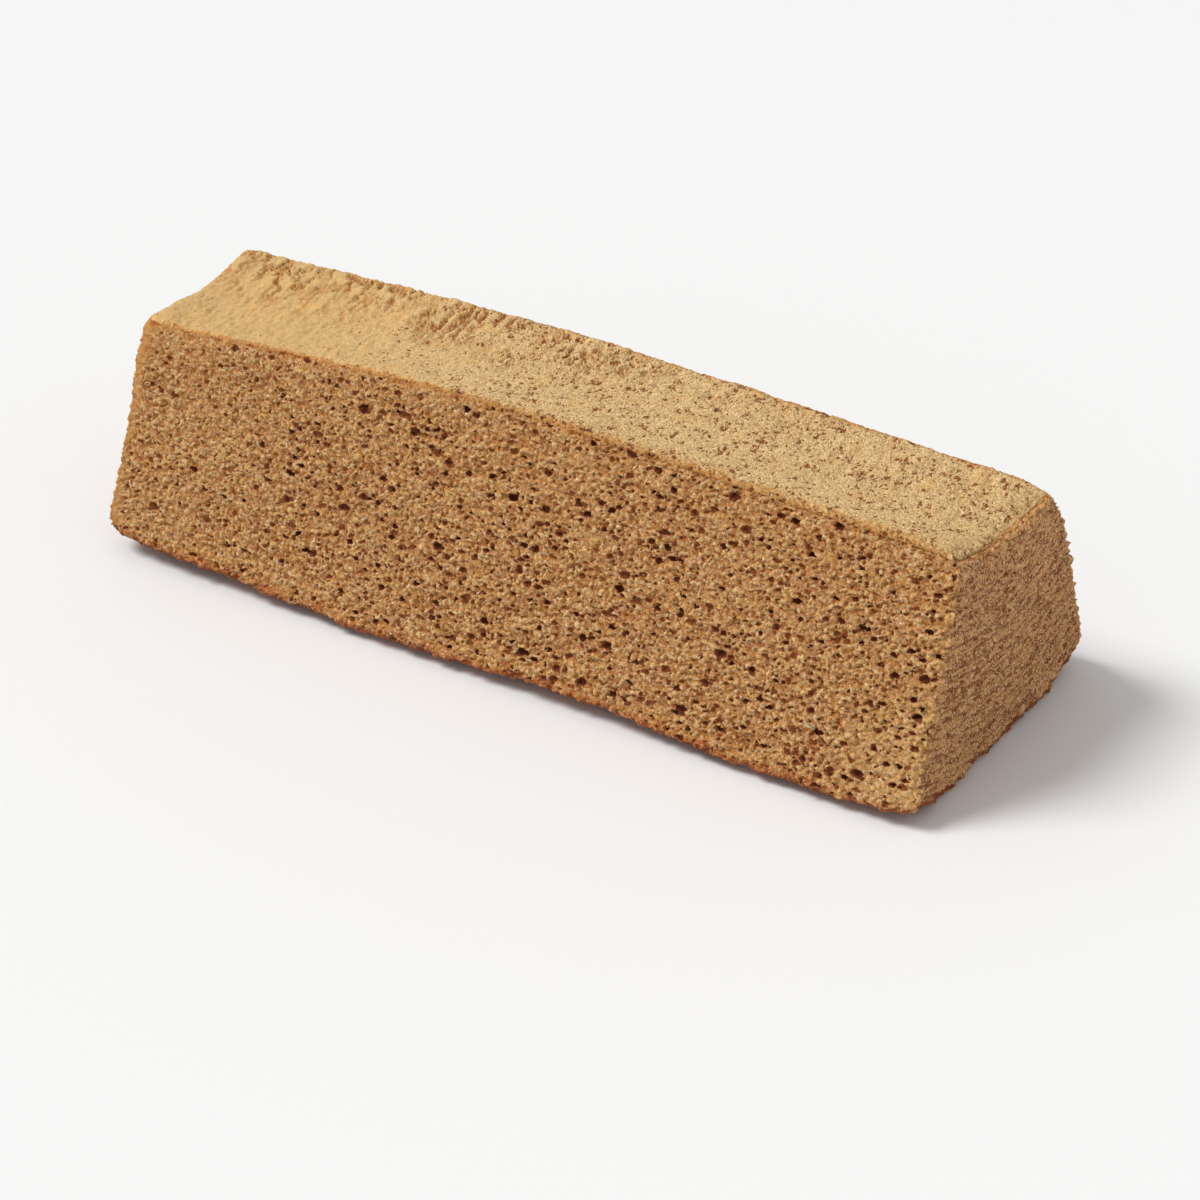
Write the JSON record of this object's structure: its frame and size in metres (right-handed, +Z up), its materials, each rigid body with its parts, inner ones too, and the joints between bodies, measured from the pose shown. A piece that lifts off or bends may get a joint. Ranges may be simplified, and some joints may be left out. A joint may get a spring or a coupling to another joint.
{
  "type": "baumkuchen bar",
  "caption": "Bar cut from a ring cake: narrow hollowed top, leaning cut sides with open crumb, and a wide browned underside that it rests on.",
  "frame": {"origin": "on the resting plane, under the middle of the bar's box", "axes": "+X along the bar, which is the axis of the ring it was cut from; +Z up, from the browned underside to the narrow hollow top; -Y is the cut side that faces the viewer"},
  "size_m": [0.1526, 0.056, 0.0415],
  "materials": {
    "crumb": "matte",
    "inner_skin": "matte",
    "crust": "matte"
  },
  "bodies": {
    "root": {"baumkuchen_bar": "crumb"}
  },
  "joints": []
}
